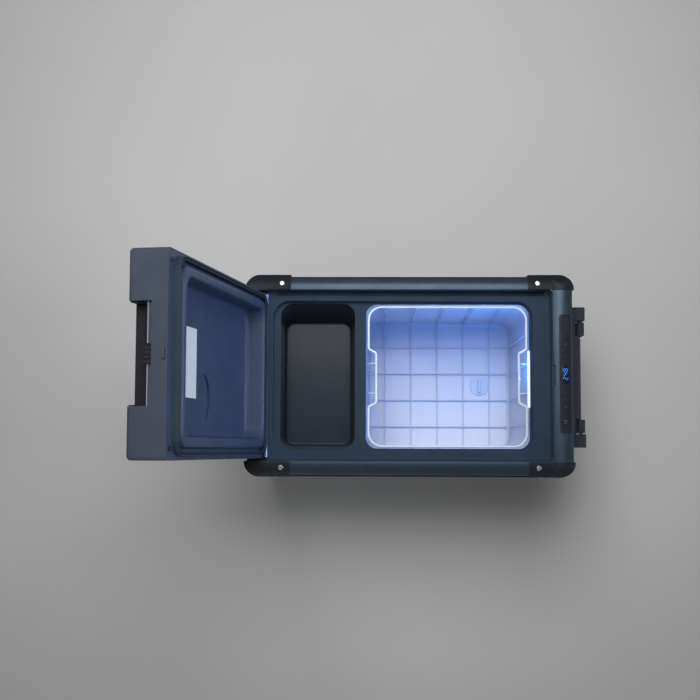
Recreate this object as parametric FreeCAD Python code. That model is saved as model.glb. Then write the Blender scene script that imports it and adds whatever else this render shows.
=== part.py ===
import FreeCAD, Part
import math
import os

# Compressor cooler fridge, millimetres. The origin is on the floor under the middle of the body.
# +X is the front end with the control panel, +Y the back long side, +Z up.
# The lid stands open: it is modelled closed and then turned about its hinge pins.

V = FreeCAD.Vector
X_AXIS = V(1, 0, 0)
Y_AXIS = V(0, 1, 0)
Z_AXIS = V(0, 0, 1)
WIDE = 1000.0  # longer than anything here, for cutting tools

# ---------------------------------------------------------------- driving dimensions
BODY_X = 318.0  # half length of the body
BODY_Y = 194.0  # half width of the body
BODY_R = 28.0  # plan radius of the body's corners
RAIL_TOP = 450.0
FRAME_Z = 408.0  # underside of the top frame
PAN_Z = 14.0  # underside of the base pan
PAN_TOP = 36.0
WALL = 3.0  # plastic wall
SHELL_T = 1.2  # steel sheet
PROUD = 4.0  # corner protectors stand this far out of the body
PROUD_TOP = 3.0
DOME_R = 50.0  # shallow dome of the long rails
DOME_Y = 172.0  # its highest line
END_DOME_R = 60.0  # dome of the front rail
END_DOME_X = 299.0
LIP = (230.0, 3.5)  # half length and height of the lip under each long rail
SCREW_R = 2.1
SCREW_LENGTH = 16.0
SCREW_HEAD_R = 5.2
SCREW_HEAD_H = 2.6

VENT = (-292.0, -150.0, 108.0, 208.0)  # X and Z limits of the vent windows
VENT_SLOTS = 11
FOOT = (260.0, 150.0)
FOOT_BUSH_R = 6.5
BOLT_HOLE_R = 3.2
SOCKET_Y = (-110.0, -66.0)  # power inlet on the rear end
SOCKET_Z = (70.0, 96.0)

DECK_Z = 427.0
LEDGE_Z = 413.0
GUTTER_X = (-284.8, 280.0)
GUTTER_Y = 168.0
SILL_Z = 421.0
COVE_R = 8.0  # rounded foot of the rails' inner walls
COVE_TOP = 439.0
COVE_T = 1.2
CHANNEL = (-262.0, 266.0, 157.4, 166.8)  # drip channel along the back of the deck
CHANNEL_Z = 418.0
CHANNEL_T = 2.5
RECESS = (-267.5, 242.5, -147.5, 147.5)
RECESS_R = 32.0
TRAY_TOP = (-254.0, -106.5, -145.0, 145.0)
TRAY_FLOOR = (-250.5, -115.5, -136.0, 116.0)
TRAY_FLOOR_Z = 310.0
LINER_TOP = (-87.0, 240.0, -145.0, 145.0)
LINER_FLOOR = (-83.5, 236.5, -141.5, 141.5)
LINER_FLOOR_Z = 72.0
LINER_R = 26.0
LINER_LIP = 2.4  # the deck reaches this far over the liner's mouth

LENS_X = (236.8, 242.0)  # light strip in the liner's front wall
LENS_Y = (-61.0, 52.0)
LENS_Z = (388.0, 402.0)
LENS_SLOT_X = (235.8, 240.8)  # gap in the deck above the strip

BASKET = (-79.75, 232.75, -138.25, 138.25)  # centre line of the wires
BASKET_R = 26.0
RIM_WIRE_R = 2.25
WIRE_R = 1.5
RIM_Z = 408.0
BASKET_FLOOR_Z = 77.0
JOG_IN = 15.0
JOG_Y = (-60.0, -52.0, 46.0, 55.0)
CROSS_WIRE_X = [-44.6 + 58.7 * i for i in range(5)]
LONG_WIRE_Y = [84.8 - 59.1 * j for j in range(4)]
WELD = 0.1  # crossing wires run this far into each other

DRAIN = (168.0, -2.0)
DRAIN_R = 6.3
DRAIN_TUBE_R = 9.0
DRAIN_SEAT_Z = 57.0  # the tube is wider above this level, for the plug's stem
DRAIN_SEAT_R = 7.6
PLUG_R = 20.5
PLUG_STEM = 10.0

HINGE = V(-281.0, 0, 433.0)
OPEN_ANGLE = 99.7
PIN_R = 2.5
KNUCKLE_R = 4.7
RIB_R = 5.3
KNUCKLE_Y = (136.5, 160.0)
LID_X = (-285.3, 277.7)
LID_Y = 162.25
LID_Z = (438.0, 502.0)
LID_WALL = 3.0
NOTCH_X = 242.7
NOTCH_Y = 80.4
NOTCH_Z = 473.0
LEDGE_X = 269.7
NOTCH_LEDGE_Z = 463.8
LID_FRAME = (-262.0, 233.0, -144.0, 144.0)
LID_FRAME_Z = 428.0
LID_FRAME_R = 26.0
LID_RECESS = (-247.0, 216.0, -126.0, 126.0)
LID_RECESS_Z = 465.0
LID_RECESS_R = 26.0
SEAL = (-275.5, 252.5, -155.5, 155.5)  # outline of the gasket
SEAL_WIDTH = 6.8
SEAL_BOTTOM = 427.4
SEAL_R = 29.0
DIMPLE_OUTER = (21.9, -58.0, 44.0)  # centre and radius of the two arcs of the lid's dimple
DIMPLE_INNER = (48.0, -62.0, 56.0)
DIMPLE_DEPTH = 6.0
LABEL = (57.0, 118.0, -60.0, 58.0)
GRIP_LINER_T = 2.0
TRIM = (0.6, 1.5)  # thickness and width of the trim strips on the step
LATCH_PAD_X = (258.0, 275.6)
PAD_Y = 15.0
PAD_RIB_Y = (-14.6, -7.6, -0.6, 6.4)
BOLT = (236.0, 282.6, 441.3, 445.3)  # X and Z limits
BOLT_Y = 8.0
LATCH_TRAVEL = 7.0
SPRING_POST_X = (216.5, 222.5)
SPRING_R = 2.3
SPRING_WIRE_R = 0.45
SPRING_Z = 444.2

HANDLE_PIVOT = (343.0, 382.0)  # X and Z on the front end; the rear one mirrors it
HANDLE_PIN_R = 4.0
EAR_Y = (113.0, 139.6)
ARM_Y = (84.0, 110.2)
GRIP_X = (341.8, 351.6)
BAR_X = (344.5, 349.0)  # flat bar inside the grip
GRIP_Z = (306.0, 342.0)
SHELF_X = 339.0  # outer edge of the shelf between the ears
SHELF_Z = (388.0, 396.0)

PANEL = (291.5, 314.0, -112.0, 119.0)
PANEL_Z = (443.5, 450.8)
KEY_Y = {"power": -90.0, "mode": -61.0, "up": -34.0, "down": 37.6, "lamp": 61.0}
KEY_X = 302.7
KEY_SIZE = (11.0, 13.0)

DISPLAY = (296.0, 309.5, -16.0, 21.0)
BLANK = (295.0, 310.5, 80.0, 113.0)  # shallow recess at one end of the panel
STRIKER_SLOT = (281.0, 288.0, -20.0, 20.0)
STRIKER_Z = (438.0, 447.4)

FOAM_BACK_X = -130.0  # the machinery stands behind the foam
COIL = (-94.0, 246.5, -151.5, 151.5)
COIL_R = 3.0
COIL_Z = [120.0 + 45.0 * i for i in range(5)]
LINE_Y = 60.0
LINE_Z = COIL_Z[-1] - 20.0
COMPRESSOR = (-225.0, -70.0)
COMPRESSOR_TOP = 170.0
MOUNT_X = 62.0
MOUNT_Y = 42.0
GROMMET_H = 12.0
CONDENSER = (-296.0, -146.0, 60.0, 210.0)  # X and Z limits
CONDENSER_Y = (126.0, 158.0)
FAN_Y = (94.0, 120.0)
FAN_CENTRE = (-221.0, 135.0)
FAN_HOLE_R = 57.0
BLADES = 7
DRIER = (-302.0, 20.0, 60.0, 150.0)  # X, Y, lower and upper end
CASE = (-300.0, -180.0, -188.0, -148.0)  # controller
CASE_Z = (215.0, 290.0)


# ---------------------------------------------------------------- shape helpers
def box(x0, x1, y0, y1, z0, z1):
    return Part.makeBox(x1 - x0, y1 - y0, z1 - z0, V(x0, y0, z0))


def cylinder(start, axis, radius, length):
    return Part.makeCylinder(radius, length, start, axis)


def rounded_wire(limits, z, radius):
    """Closed outline of a rectangle with quarter-circle corners, at height z."""
    x0, x1, y0, y1 = limits
    k = radius * (1 - math.sqrt(0.5))
    corners = [
        (V(x1, y1 - radius, z), V(x1 - k, y1 - k, z), V(x1 - radius, y1, z)),
        (V(x0 + radius, y1, z), V(x0 + k, y1 - k, z), V(x0, y1 - radius, z)),
        (V(x0, y0 + radius, z), V(x0 + k, y0 + k, z), V(x0 + radius, y0, z)),
        (V(x1 - radius, y0, z), V(x1 - k, y0 + k, z), V(x1, y0 + radius, z)),
    ]
    edges = []
    for i, (start, middle, end) in enumerate(corners):
        edges.append(Part.Arc(start, middle, end).toShape())
        following = corners[(i + 1) % 4][0]
        edges.append(Part.LineSegment(end, following).toShape())
    return Part.Wire(edges)


def rounded_box(limits, z0, z1, radius):
    return Part.Face(rounded_wire(limits, z0, radius)).extrude(V(0, 0, z1 - z0))


def grown(limits, by):
    x0, x1, y0, y1 = limits
    return (x0 - by, x1 + by, y0 - by, y1 + by)


def tub(top, top_z, floor, floor_z, radius):
    """Tapered solid between two rounded rectangles."""
    wires = [rounded_wire(floor, floor_z, radius * 0.8), rounded_wire(top, top_z, radius)]
    return Part.makeLoft(wires, True, True)


def fillet_at(shape, radius, chosen):
    """Round the edges that the test function picks."""
    return shape.makeFillet(radius, [edge for edge in shape.Edges if chosen(edge)])


def at_height(z, limits=(-WIDE, WIDE, -WIDE, WIDE)):
    """Test for edges at one height, inside a rectangle."""
    x0, x1, y0, y1 = limits

    def test(edge):
        bounds = edge.BoundBox
        level = abs(bounds.ZMin - z) < 0.01 and abs(bounds.ZMax - z) < 0.01
        inside_x = bounds.XMin > x0 and bounds.XMax < x1
        return level and inside_x and bounds.YMin > y0 and bounds.YMax < y1

    return test


def rounded_path(points, radius, closed=False):
    """Straight runs joined by tangent arcs: one radius, or a list with one for each point."""
    points = [V(*p) for p in points]
    count = len(points)
    radii = radius if isinstance(radius, list) else [radius] * count
    turns = {}
    corners = range(count) if closed else range(1, count - 1)
    for i in corners:
        corner = points[i]
        back = (points[i - 1] - corner).normalize()
        ahead = (points[(i + 1) % count] - corner).normalize()
        half = back.getAngle(ahead) / 2
        reach = radii[i] / math.tan(half)
        bisector = (back + ahead).normalize()
        middle = corner + bisector * (radii[i] / math.sin(half) - radii[i])
        turns[i] = (corner + back * reach, middle, corner + ahead * reach)
    edges = []
    position = turns[count - 1][2] if closed else points[0]
    for i in range(count):
        if i in turns:
            start, middle, end = turns[i]
            if (start - position).Length > 0.001:
                edges.append(Part.LineSegment(position, start).toShape())
            edges.append(Part.Arc(start, middle, end).toShape())
            position = end
        elif i > 0:
            edges.append(Part.LineSegment(position, points[i]).toShape())
            position = points[i]
    return Part.Wire(edges)


def tube(points, radius, bend, closed=False):
    """Round bar or pipe along a rounded path."""
    path = rounded_path(points, bend, closed)
    first = path.OrderedEdges[0]
    start = first.valueAt(first.FirstParameter)
    heading = first.tangentAt(first.FirstParameter)
    section = Part.Wire(Part.makeCircle(radius, start, heading))
    return path.makePipeShell([section], True, False)


def crowned_block(half_x, half_y, plan_r, z0, z1, side_r, end_r):
    """Block with rounded plan corners whose top edges are rounded along the sides and ends."""

    def crown(half, radius, length, turn):
        k = radius * (1 - math.sqrt(0.5))
        outline = [V(-half, 0, z0), V(-half, 0, z1 - radius), V(-half + radius, 0, z1)]
        outline += [V(half - radius, 0, z1), V(half, 0, z1 - radius), V(half, 0, z0)]
        edges = [Part.LineSegment(outline[0], outline[1]).toShape()]
        edges.append(Part.Arc(outline[1], V(-half + k, 0, z1 - k), outline[2]).toShape())
        edges.append(Part.LineSegment(outline[2], outline[3]).toShape())
        edges.append(Part.Arc(outline[3], V(half - k, 0, z1 - k), outline[4]).toShape())
        edges.append(Part.LineSegment(outline[4], outline[5]).toShape())
        edges.append(Part.LineSegment(outline[5], outline[0]).toShape())
        solid = Part.Face(Part.Wire(edges)).extrude(V(0, 2 * length, 0))
        solid.translate(V(0, -length, 0))
        solid.rotate(V(0, 0, 0), Z_AXIS, turn)
        return solid

    plan = rounded_box((-half_x, half_x, -half_y, half_y), z0, z1, plan_r)
    ends = crown(half_x, end_r, half_y + 10, 0)
    sides = crown(half_y, side_r, half_x + 10, 90)
    return plan.common(ends).common(sides)


def fused(shapes):
    result = shapes[0]
    if len(shapes) > 1:
        result = shapes[0].fuse(shapes[1:])
    return result.removeSplitter()


def cut(shape, tools):
    for tool in tools:
        shape = shape.cut(tool)
    return shape


def signs():
    return [(sx, sy) for sx in (-1, 1) for sy in (-1, 1)]


def mirrored_x(shape):
    return shape.mirror(V(0, 0, 0), X_AXIS)


def opened(shape):
    """Turn a piece of the closed lid to where it stands open."""
    turned = shape.copy()
    turned.rotate(HINGE, Y_AXIS, -OPEN_ANGLE)
    return turned


def export(name, shapes):
    if not isinstance(shapes, list):
        shapes = [shapes]
    solids = [solid for shape in shapes for solid in shape.Solids]
    for solid in solids:
        if not solid.isValid():
            raise ValueError(name + " has an invalid solid")
    whole = solids[0] if len(solids) == 1 else Part.makeCompound(solids)
    whole.exportStep("parts/" + name + ".step")
    volume = sum(solid.Volume for solid in solids)
    print(f"{name}: {len(solids)} solid(s), {volume / 1000:.1f} cm3")


# ---------------------------------------------------------------- body: casing
def side_domes(top):
    """What lies above the shallow domes of the two long rails."""
    tools = []
    for side in (-1, 1):
        y0, y1 = sorted((side * GUTTER_Y, side * (BODY_Y + 10)))
        block = box(-WIDE, WIDE, y0, y1, top - 10, top + 10)
        start = V(-WIDE, side * DOME_Y, top - DOME_R)
        tools.append(block.cut(cylinder(start, X_AXIS, DOME_R, 2 * WIDE)))
    return tools


def front_dome(top):
    """What lies above the shallow dome of the front rail and its panel."""
    block = box(GUTTER_X[1], BODY_X + 10, -WIDE, WIDE, top - 10, top + 10)
    start = V(END_DOME_X, -WIDE, top - END_DOME_R)
    return block.cut(cylinder(start, Y_AXIS, END_DOME_R, 2 * WIDE))


def body_envelope(z0=PAN_Z):
    block = crowned_block(BODY_X, BODY_Y, BODY_R, z0, RAIL_TOP, 9.0, 5.0)
    return cut(block, side_domes(RAIL_TOP) + [front_dome(RAIL_TOP)])


def vent_windows():
    x0, x1, z0, z1 = VENT
    return [box(x0, x1, s * BODY_Y - 10, s * BODY_Y + 10, z0, z1) for s in (-1, 1)]


def outer_shell():
    limits = (-BODY_X, BODY_X, -BODY_Y, BODY_Y)
    ring = rounded_box(limits, PAN_TOP, FRAME_Z, BODY_R)
    ring = ring.cut(rounded_box(grown(limits, -SHELL_T), PAN_TOP, FRAME_Z, BODY_R - SHELL_T))
    socket = box(-BODY_X - 5, -BODY_X + 5, *SOCKET_Y, *SOCKET_Z)
    return cut(ring, vent_windows() + [socket] + screw_shanks())


def vent_grilles():
    x0, x1, z0, z1 = VENT
    grilles = []
    pitch = (z1 - z0) / VENT_SLOTS
    for side in (-1, 1):
        y0, y1 = sorted((side * (BODY_Y - 3), side * (BODY_Y + 2.5)))
        grille = box(x0, x1, y0, y1, z0, z1)
        f0, f1 = sorted((side * BODY_Y, side * (BODY_Y + 2.5)))
        flange = box(x0 - 5, x1 + 5, f0, f1, z0 - 5, z1 + 5)
        grille = fused([grille, flange])
        slots = []
        for i in range(VENT_SLOTS):
            low = z0 + (i + 0.25) * pitch
            for a, b in ((x0 + 4, (x0 + x1) / 2 - 2), ((x0 + x1) / 2 + 2, x1 - 4)):
                slots.append(box(a, b, y0 - 1, y1 + 1, low, low + pitch * 0.5))
        grilles.append(cut(grille, [Part.makeCompound(slots)]))
    return grilles


def base_pan():
    limits = (-BODY_X, BODY_X, -BODY_Y, BODY_Y)
    pan = rounded_box(limits, PAN_Z, PAN_TOP, BODY_R)
    pan = pan.cut(rounded_box(grown(limits, -WALL), PAN_Z + WALL, PAN_TOP, BODY_R - WALL))
    bosses = [
        cylinder(V(sx * FOOT[0], sy * FOOT[1], PAN_Z), Z_AXIS, 12, 18) for sx, sy in signs()
    ]
    pan = fused([pan] + bosses)
    holes = [
        cylinder(V(sx * FOOT[0], sy * FOOT[1], 0), Z_AXIS, FOOT_BUSH_R, PAN_TOP)
        for sx, sy in signs()
    ]
    holes.append(cylinder(V(*DRAIN, 0), Z_AXIS, DRAIN_TUBE_R, PAN_TOP))
    return cut(pan, holes)


def rubber_feet():
    feet = []
    for sx, sy in signs():
        foot = Part.makeCone(17, 20, PAN_Z, V(sx * FOOT[0], sy * FOOT[1], 0), Z_AXIS)
        foot = foot.cut(cylinder(V(sx * FOOT[0], sy * FOOT[1], -1), Z_AXIS, FOOT_BUSH_R, PAN_Z + 2))
        feet.append(foot)
    return feet


def foot_inserts():
    bushes = []
    for sx, sy in signs():
        bush = cylinder(V(sx * FOOT[0], sy * FOOT[1], 0), Z_AXIS, FOOT_BUSH_R, 32)
        bush = bush.cut(cylinder(V(sx * FOOT[0], sy * FOOT[1], -1), Z_AXIS, BOLT_HOLE_R, 40))
        bushes.append(bush)
    return bushes


def screw_places():
    """Head seat and outward axis of each protector screw."""
    top = RAIL_TOP + PROUD_TOP
    side = BODY_Y + PROUD
    places = [(V(sx * 249.5, sy * 179.5, top), Z_AXIS) for sx, sy in signs()]
    places += [(V(sx * 262.0, sy * side, 392.0), Y_AXIS * sy) for sx, sy in signs()]
    places += [(V(sx * 270.0, sy * side, 66.0), Y_AXIS * sy) for sx, sy in signs()]
    return places


def screw_shanks():
    shanks = []
    for seat, axis in screw_places():
        shanks.append(cylinder(seat - axis * SCREW_LENGTH, axis, SCREW_R, SCREW_LENGTH))
    return shanks


def protector_screws():
    """Pan-head screws with a cross recess, drawn upright and turned to their faces."""
    screws = []
    for seat, axis in screw_places():
        head = Part.makeCylinder(SCREW_HEAD_R, SCREW_HEAD_H)
        head = fillet_at(head, 1.6, at_height(SCREW_HEAD_H))
        shank = cylinder(V(0, 0, -SCREW_LENGTH), Z_AXIS, SCREW_R, SCREW_LENGTH)
        screw = fused([head, shank])
        for half_x, half_y in ((3.0, 0.6), (0.6, 3.0)):
            screw = screw.cut(box(-half_x, half_x, -half_y, half_y, 1.1, 3.0))
        screw.Placement = FreeCAD.Placement(seat, FreeCAD.Rotation(Z_AXIS, axis))
        screws.append(screw)
    return screws


def top_corner_protectors():
    cap = crowned_block(
        BODY_X + PROUD, BODY_Y + PROUD, BODY_R + PROUD, 372.0, RAIL_TOP + PROUD_TOP, 12.0, 9.0
    )
    top = RAIL_TOP + PROUD_TOP
    cap = cut(cap, side_domes(top) + [front_dome(top), body_envelope()])
    caps = []
    for sx, sy in signs():
        x0, x1 = sorted((sx * 232.0, sx * 400.0))
        y0, y1 = sorted((sy * GUTTER_Y, sy * 300.0))
        caps.append(cut(cap.common(box(x0, x1, y0, y1, 300, 500)), screw_shanks()))
    return caps


def bottom_corner_protectors():
    outer = (-BODY_X - PROUD, BODY_X + PROUD, -BODY_Y - PROUD, BODY_Y + PROUD)
    cup = rounded_box(outer, PAN_Z - 4, 96.0, BODY_R + PROUD)
    cup = fillet_at(cup, 3.5, at_height(PAN_Z - 4))
    cup = cup.cut(body_envelope())
    cup = cup.cut(rounded_box(grown(outer, -22), 0, PAN_Z + 1, BODY_R - 10))
    cups = []
    for sx, sy in signs():
        x0, x1 = sorted((sx * 246.0, sx * 400.0))
        y0, y1 = sorted((sy * 128.0, sy * 300.0))
        cups.append(cut(cup.common(box(x0, x1, y0, y1, 0, 120)), screw_shanks()))
    return cups


def knuckle_lugs():
    """Lugs that carry the hinge knuckles, let into the rear sill."""
    lugs = []
    for side in (-1, 1):
        y0, y1 = sorted((side * KNUCKLE_Y[0], side * KNUCKLE_Y[1]))
        lugs.append(box(HINGE.x - 2.5, HINGE.x + 2.5, y0, y1, 415.0, HINGE.z))
    return lugs


def rail_lips():
    """Thin ledges along the lower edges of the long rails."""
    half, height = LIP
    lips = []
    for side in (-1, 1):
        y0, y1 = sorted((side * (BODY_Y - 2), side * (BODY_Y + PROUD)))
        lip = box(-half, half, y0, y1, FRAME_Z, FRAME_Z + height)
        lip = fillet_at(lip, 1.2, lambda e: abs(e.CenterOfMass.y) > BODY_Y + PROUD - 0.1)
        lips.append(lip)
    return lips


def top_frame():
    frame = fused([body_envelope(FRAME_Z)] + rail_lips())
    gutter = rounded_box((*GUTTER_X, -GUTTER_Y, GUTTER_Y), FRAME_Z - 1, RAIL_TOP + 1, 10.0)
    rear_gap = box(-BODY_X - 10, GUTTER_X[0] + 12, -GUTTER_Y + 1, GUTTER_Y - 1, SILL_Z, RAIL_TOP + 1)
    panel_seat = rounded_box(PANEL, PANEL_Z[0], RAIL_TOP + 1, 5.0)
    x0, x1, y0, y1 = STRIKER_SLOT
    striker_slot = box(x0 - 2, x1, y0, y1, *STRIKER_Z)
    notch = box(x0 - 2, x0 + 3, y0, y1, STRIKER_Z[0] + 2, RAIL_TOP + 1)
    return cut(frame, [gutter, rear_gap, panel_seat, striker_slot, notch] + screw_shanks())


def deck_moulding():
    x0, x1 = GUTTER_X
    plate = rounded_box((x0, x1, -GUTTER_Y, GUTTER_Y), DECK_Z - 4, COVE_TOP, 10.0)
    inner = GUTTER_Y - COVE_T
    basin = rounded_box((x0 - 30, x1 - COVE_T, -inner, inner), DECK_Z, COVE_TOP + 1, 11.0)
    plate = plate.cut(fillet_at(basin, COVE_R, at_height(DECK_Z)))
    skirt = rounded_box(grown(RECESS, WALL), LEDGE_Z - WALL, DECK_Z, RECESS_R + WALL)
    x0, x1, y0, y1 = CHANNEL
    trough = (x0 - CHANNEL_T, x1 + CHANNEL_T, y0 - CHANNEL_T, GUTTER_Y)
    deck = fused([plate, skirt, rounded_box(trough, CHANNEL_Z - CHANNEL_T, DECK_Z, 3.0)])
    recess = rounded_box(RECESS, LEDGE_Z, DECK_Z + 1, RECESS_R)
    openings = [
        rounded_box(TRAY_TOP, LEDGE_Z - 10, DECK_Z, RECESS_R - 6),
        rounded_box(grown(LINER_TOP, -LINER_LIP), LEDGE_Z - 10, DECK_Z, LINER_R - 4),
        box(*LENS_SLOT_X, *LENS_Y, LEDGE_Z - 10, DECK_Z - 8),
        rounded_box(CHANNEL, CHANNEL_Z, COVE_TOP + 1, 4.0),
    ]
    deck = cut(deck, [recess] + openings + knuckle_lugs())
    return fillet_at(deck, 2.5, at_height(DECK_Z, grown(RECESS, 1.0)))


def tray_outer():
    body = tub(grown(TRAY_TOP, WALL), LEDGE_Z - WALL, grown(TRAY_FLOOR, WALL), TRAY_FLOOR_Z - WALL, 26)
    flange = rounded_box(grown(TRAY_TOP, 6), LEDGE_Z - 2 * WALL, LEDGE_Z - WALL, 28)
    return fused([body, flange])


def upper_tray():
    hollow = tub(TRAY_TOP, LEDGE_Z - WALL, TRAY_FLOOR, TRAY_FLOOR_Z, 23)
    hollow = fillet_at(hollow, 4.0, at_height(TRAY_FLOOR_Z))
    return tray_outer().cut(hollow)


def liner_outer():
    body = tub(grown(LINER_TOP, WALL), LEDGE_Z - WALL, grown(LINER_FLOOR, WALL), LINER_FLOOR_Z - WALL, 29)
    flange = rounded_box(grown(LINER_TOP, 6), LEDGE_Z - 2 * WALL, LEDGE_Z - WALL, 31)
    return fused([body, flange])


def inner_liner():
    hollow = tub(LINER_TOP, LEDGE_Z - WALL, LINER_FLOOR, LINER_FLOOR_Z, LINER_R)
    hollow = fillet_at(hollow, 12.0, at_height(LINER_FLOOR_Z))
    drain = cylinder(V(*DRAIN, 0), Z_AXIS, DRAIN_TUBE_R, 200)
    window = box(230.0, 260.0, *LENS_Y, *LENS_Z)
    return cut(liner_outer(), [hollow, drain, window])


def led_lens():
    lens = box(*LENS_X, *LENS_Y, *LENS_Z)
    return fillet_at(lens, 1.5, lambda e: e.BoundBox.XMax < LENS_X[0] + 0.01)


def led_housing():
    y0, y1 = LENS_Y
    case = box(LENS_X[1], 252.0, y0, y1, LENS_Z[0], LENS_Z[1])
    board_space = box(LENS_X[1], LENS_X[1] + 4, y0 + 3, y1 - 3, LENS_Z[0] + 2, LENS_Z[1] - 2)
    return case.cut(board_space)


def evaporator_coil():
    """Cold pipe wound round the liner, with one riser that joins its turns."""
    x0, x1, y0, y1 = COIL
    turns = [
        tube([(x0, y0, z), (x1, y0, z), (x1, y1, z), (x0, y1, z)], COIL_R, 30.0, closed=True)
        for z in COIL_Z
    ]
    riser = cylinder(V(x0, LINE_Y, COIL_Z[0]), Z_AXIS, COIL_R, COIL_Z[-1] - COIL_Z[0])
    outlet = cylinder(V(FOAM_BACK_X, LINE_Y, LINE_Z), X_AXIS, COIL_R, x0 - FOAM_BACK_X)
    inlet = cylinder(V(FOAM_BACK_X, DRIER[1], COIL_Z[0]), X_AXIS, COIL_R, x0 - FOAM_BACK_X)
    return fused(turns + [riser, outlet, inlet])


def foam_insulation():
    inset = SHELL_T + 0.2
    limits = (FOAM_BACK_X, BODY_X - inset, -BODY_Y + inset, BODY_Y - inset)
    block = rounded_box(limits, PAN_TOP, FRAME_Z - 1, BODY_R - inset)
    coil_space = rounded_box(grown(COIL, 4.5), COIL_Z[0] - 8, COIL_Z[-1] + 8, 34.0)
    tools = [liner_outer(), tray_outer(), coil_space]
    tools.append(cylinder(V(*DRAIN, 0), Z_AXIS, DRAIN_TUBE_R, 200))
    tools.append(cylinder(V(FOAM_BACK_X - 1, LINE_Y, LINE_Z), X_AXIS, COIL_R, 40))
    tools.append(cylinder(V(FOAM_BACK_X - 1, DRIER[1], COIL_Z[0]), X_AXIS, COIL_R, 40))
    tools.append(box(LENS_X[0] - 10, 252.0, *LENS_Y, *LENS_Z))
    tools += screw_shanks()
    return cut(block, tools)


def drain_tube():
    outer = cylinder(V(*DRAIN, PAN_Z - 2), Z_AXIS, DRAIN_TUBE_R, LINER_FLOOR_Z - PAN_Z + 2)
    bore = cylinder(V(*DRAIN, 0), Z_AXIS, DRAIN_R, LINER_FLOOR_Z)
    return cut(outer, [bore, cylinder(V(*DRAIN, DRAIN_SEAT_Z), Z_AXIS, DRAIN_SEAT_R, LINER_FLOOR_Z)])


def drain_plug():
    """Disc with a grip bar and a stem, turned a quarter to free it."""
    x, y = DRAIN
    disc = cylinder(V(x, y, LINER_FLOOR_Z + 0.3), Z_AXIS, PLUG_R, 3.7)
    disc = fillet_at(disc, 1.5, at_height(LINER_FLOOR_Z + 4.0))
    grip = box(x - 3.5, x + 3.5, y - 15, y + 15, LINER_FLOOR_Z + 3, LINER_FLOOR_Z + 12)
    grip = fillet_at(grip, 2.5, lambda e: e.BoundBox.ZMax > LINER_FLOOR_Z + 3.5)
    start = V(x, y, LINER_FLOOR_Z - PLUG_STEM)
    stem = cylinder(start, Z_AXIS, DRAIN_SEAT_R - 0.08, PLUG_STEM + 1)
    return fused([disc, grip, stem])


# ---------------------------------------------------------------- body: machinery
def compressor_grommets():
    grommets = []
    for sx, sy in signs():
        place = V(COMPRESSOR[0] + sx * MOUNT_X, COMPRESSOR[1] + sy * MOUNT_Y, PAN_Z + WALL)
        ring = cylinder(place, Z_AXIS, 10, GROMMET_H)
        grommets.append(ring.cut(cylinder(place, Z_AXIS, 3.5, GROMMET_H)))
    return grommets


def compressor():
    cx, cy = COMPRESSOR
    foot = PAN_Z + WALL + GROMMET_H
    plate = rounded_box((cx - 76, cx + 76, cy - 56, cy + 56), foot, foot + 3, 12)
    plate = cut(
        plate,
        [cylinder(V(cx + sx * MOUNT_X, cy + sy * MOUNT_Y, 0), Z_AXIS, 4, 60) for sx, sy in signs()],
    )
    can = cylinder(V(cx, cy, foot + 3), Z_AXIS, 58, COMPRESSOR_TOP - foot - 3)
    can = fillet_at(can, 30.0, at_height(COMPRESSOR_TOP))
    seam = cylinder(V(cx, cy, foot + 86), Z_AXIS, 60.5, 4)
    terminals = rounded_box((cx - 22, cx + 22, cy - 86, cy - 40), foot + 45, foot + 95, 4)
    return fused([plate, can, seam, terminals])


def condenser():
    """Serpentine pipe through a stack of upright fins."""
    x0, x1, z0, z1 = CONDENSER
    rows = 7
    pitch = (z1 - z0 - 24) / (rows - 1)
    y = sum(CONDENSER_Y) / 2
    points = []
    for i in range(rows):
        z = z0 + 12 + i * pitch
        ends = [(x0 + 6, y, z), (x1 - 6, y, z)]
        points += ends if i % 2 == 0 else ends[::-1]
    pipe = tube(points, 3.5, pitch / 2 - 0.5)
    fins = [box(x, x + 1.0, *CONDENSER_Y, z0, z1) for x in [x0 + 18 + 7.0 * i for i in range(17)]]
    return fused([pipe] + fins)


def fan_frame():
    x, z = FAN_CENTRE
    y0, y1 = FAN_Y
    block = box(x - 60, x + 60, y0, y1, z - 60, z + 60)
    block = block.cut(cylinder(V(x, y0 - 1, z), Y_AXIS, FAN_HOLE_R, y1 - y0 + 2))
    hub = cylinder(V(x, y1 - 5, z), Y_AXIS, 20, 5)
    reach = FAN_HOLE_R + 1
    struts = [
        box(x - reach, x + reach, y1 - 4, y1, z - 2, z + 2),
        box(x - 2, x + 2, y1 - 4, y1, z - reach, z + reach),
    ]
    axle = cylinder(V(x, y0 + 6, z), Y_AXIS, 2.0, y1 - y0 - 8)
    return fused([block, hub, axle] + struts)


def fan_rotor():
    x, z = FAN_CENTRE
    y0 = FAN_Y[0] + 2
    hub = cylinder(V(x, y0, z), Y_AXIS, 19, 17)
    blades = []
    for i in range(BLADES):
        blade = box(-10, 10, y0 + 8, y0 + 10, 16, 54)
        blade.rotate(V(0, y0 + 9, 0), Z_AXIS, 32)
        blade.rotate(V(0, 0, 0), Y_AXIS, i * 360 / BLADES)
        blade.translate(V(x, 0, z))
        blades.append(blade)
    rotor = fused([hub] + blades)
    return rotor.cut(cylinder(V(x, y0 - 5, z), Y_AXIS, 2.05, 40))


def filter_drier():
    """Spun copper capsule lying beside the compressor."""
    x, y, low, high = DRIER
    capsule = cylinder(V(x, y, low), Z_AXIS, 9.0, high - low)
    return fillet_at(capsule, 6.0, lambda e: at_height(low)(e) or at_height(high)(e))


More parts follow.
